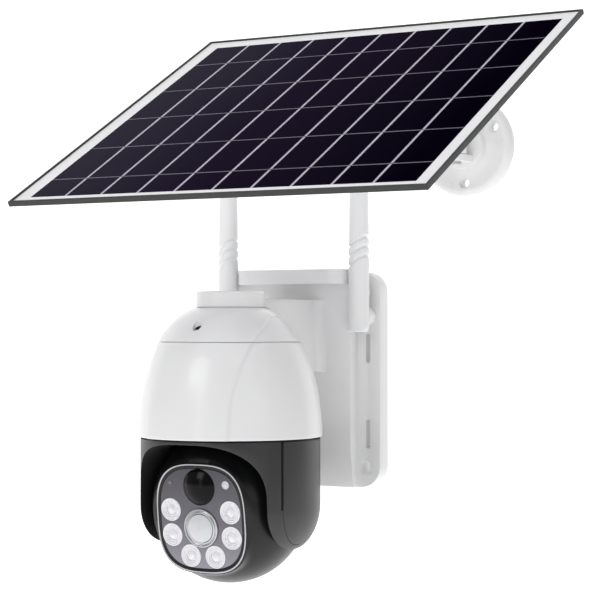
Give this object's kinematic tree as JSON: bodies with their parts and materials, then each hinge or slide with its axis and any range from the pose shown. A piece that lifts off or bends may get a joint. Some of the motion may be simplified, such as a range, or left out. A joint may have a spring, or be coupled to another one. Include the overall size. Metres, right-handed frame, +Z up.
{
  "type": "solar-powered security camera",
  "caption": "Wall-mounted pan and tilt security camera with a domed shroud, floodlight ring, folding antennas and a tilting solar panel on its own bracket.",
  "frame": {"origin": "centre of the wall plate's back face, on the wall", "axes": "+Y into the wall, -Y is the camera's front, +Z up, +X to the right as seen from the front"},
  "size_m": [0.2546, 0.2407, 0.3313],
  "materials": {
    "white_shell": "glossy moulded ABS",
    "antenna_white": "satin moulded plastic",
    "white_metal": "white powder coat",
    "black_shell": "satin black ABS",
    "black_gloss": "polished black ABS",
    "black_trim": "fine grain",
    "seal_rubber": "soft matt",
    "screw_steel": "zinc plated",
    "motor_steel": "plated can",
    "gear_nylon": "acetal",
    "chassis_plastic": "moulded",
    "circuit_board": "solder mask",
    "battery_wrap": "shrink sleeve",
    "bezel_silver": "satin chrome",
    "smoked_window": "smoked polycarbonate",
    "led_clear": "clear lens",
    "lens_black": "polished dark dome",
    "pir_white": "milky moulded lens",
    "sensor_grey": "small clear lens",
    "frame_black": "black anodised",
    "solar_glass": "laminated cells under clear glass",
    "box_black": "moulded"
  },
  "bodies": {
    "wall_unit": {"wall_plate": "white_shell", "plate_gasket": "seal_rubber", "arm_housing": "white_shell", "cover_screws": "screw_steel", "antenna_board": "circuit_board", "power_inlet": "black_trim", "antenna_posts": "white_shell", "cap": "white_shell", "cap_screw": "screw_steel", "cap_bolts": "screw_steel", "shroud": "white_shell", "rim_seal": "seal_rubber", "chassis": "chassis_plastic", "chassis_screws": "screw_steel", "battery_cells": "battery_wrap", "battery_holder": "black_trim", "main_board": "circuit_board", "pan_motor": "motor_steel", "pan_bearing": "screw_steel", "panel_flange": "white_metal", "swing_pin": "screw_steel"},
    "button": {"power_button": "seal_rubber"},
    "left_antenna": {"antenna_left": "antenna_white"},
    "right_antenna": {"antenna_right": "antenna_white"},
    "pan_drive": {"pan_pinion": "gear_nylon"},
    "yoke": {"yoke_frame": "black_shell", "side_cover_left": "black_shell", "side_cover_right": "black_shell", "yoke_screws": "screw_steel", "pan_gear": "gear_nylon", "pan_spindle": "screw_steel", "spindle_nut": "screw_steel", "tilt_pivots": "screw_steel", "sun_gear": "gear_nylon"},
    "camera_ball": {"ball_front": "black_gloss", "ball_rear": "black_gloss", "ball_screws": "screw_steel", "bezel_ring": "bezel_silver", "window": "smoked_window", "led_lenses": "led_clear", "led_board": "circuit_board", "lens_dome": "lens_black", "lens_barrel": "black_trim", "sensor_board": "circuit_board", "pir_ring": "bezel_silver", "pir_lens": "pir_white", "light_sensors": "sensor_grey", "tilt_motor": "motor_steel", "speaker": "black_trim"},
    "tilt_drive": {"tilt_pinion": "gear_nylon"},
    "bracket_arm": {"panel_arm": "white_metal"},
    "bracket_knuckle": {"knuckle": "white_metal", "turn_pin": "screw_steel"},
    "solar_panel": {"tilt_pin": "screw_steel", "panel_bracket": "frame_black", "bracket_screws": "screw_steel", "panel_frame": "frame_black", "panel_laminate": "solar_glass", "junction_box": "box_black"},
    "knob": {"tilt_knob": "black_trim"}
  },
  "joints": [
    {"name": "head_pan", "type": "hinge", "parent": "wall_unit", "child": "yoke", "pos_m": [0, -0.095, -0.033], "axis": [0, 0, 1], "range_deg": [-170, 170]},
    {"name": "pan_pinion_spin", "type": "hinge", "parent": "wall_unit", "child": "pan_drive", "pos_m": [0.03, -0.095, -0.02], "axis": [0, 0, 1], "range_deg": [-681, 681]},
    {"name": "head_tilt", "type": "hinge", "parent": "yoke", "child": "camera_ball", "pos_m": [0, -0.095, -0.072], "axis": [1, 0, 0], "range_deg": [-20, 75]},
    {"name": "tilt_pinion_spin", "type": "hinge", "parent": "camera_ball", "child": "tilt_drive", "pos_m": [0.028, -0.07436, -0.06946], "axis": [1, 0, 0], "range_deg": [-67, 251]},
    {"name": "antenna_left_fold", "type": "hinge", "parent": "wall_unit", "child": "left_antenna", "pos_m": [-0.047, -0.0214, 0.0392], "axis": [0, -1, 0], "range_deg": [0, 180]},
    {"name": "antenna_right_fold", "type": "hinge", "parent": "wall_unit", "child": "right_antenna", "pos_m": [0.047, -0.0214, 0.0392], "axis": [0, 1, 0], "range_deg": [0, 180]},
    {"name": "power_button_press", "type": "slide", "parent": "wall_unit", "child": "button", "axis": [0, 0, 1], "range_m": [0, 0.001], "stiffness_N_per_m": 400},
    {"name": "panel_swing", "type": "hinge", "parent": "wall_unit", "child": "bracket_arm", "pos_m": [0.1113, -0.023, 0.1414], "axis": [0, 0, 1], "range_deg": [-11, 22]},
    {"name": "panel_turn", "type": "hinge", "parent": "bracket_arm", "child": "bracket_knuckle", "pos_m": [0.0736, -0.1145, 0.1414], "axis": [0, 0, 1], "range_deg": [-18, 18]},
    {"name": "panel_tilt", "type": "hinge", "parent": "bracket_knuckle", "child": "solar_panel", "pos_m": [0.0736, -0.13, 0.1414], "axis": [1, 0, 0], "range_deg": [-20, 31]},
    {"name": "tilt_knob_turn", "type": "hinge", "parent": "solar_panel", "child": "knob", "pos_m": [0.0901, -0.13, 0.1414], "axis": [1, 0, 0], "continuous": true}
  ],
  "couplings": [
    {"joint": "pan_pinion_spin", "follows": "head_pan", "ratio": -4},
    {"joint": "tilt_pinion_spin", "follows": "head_tilt", "ratio": 3.3333}
  ]
}
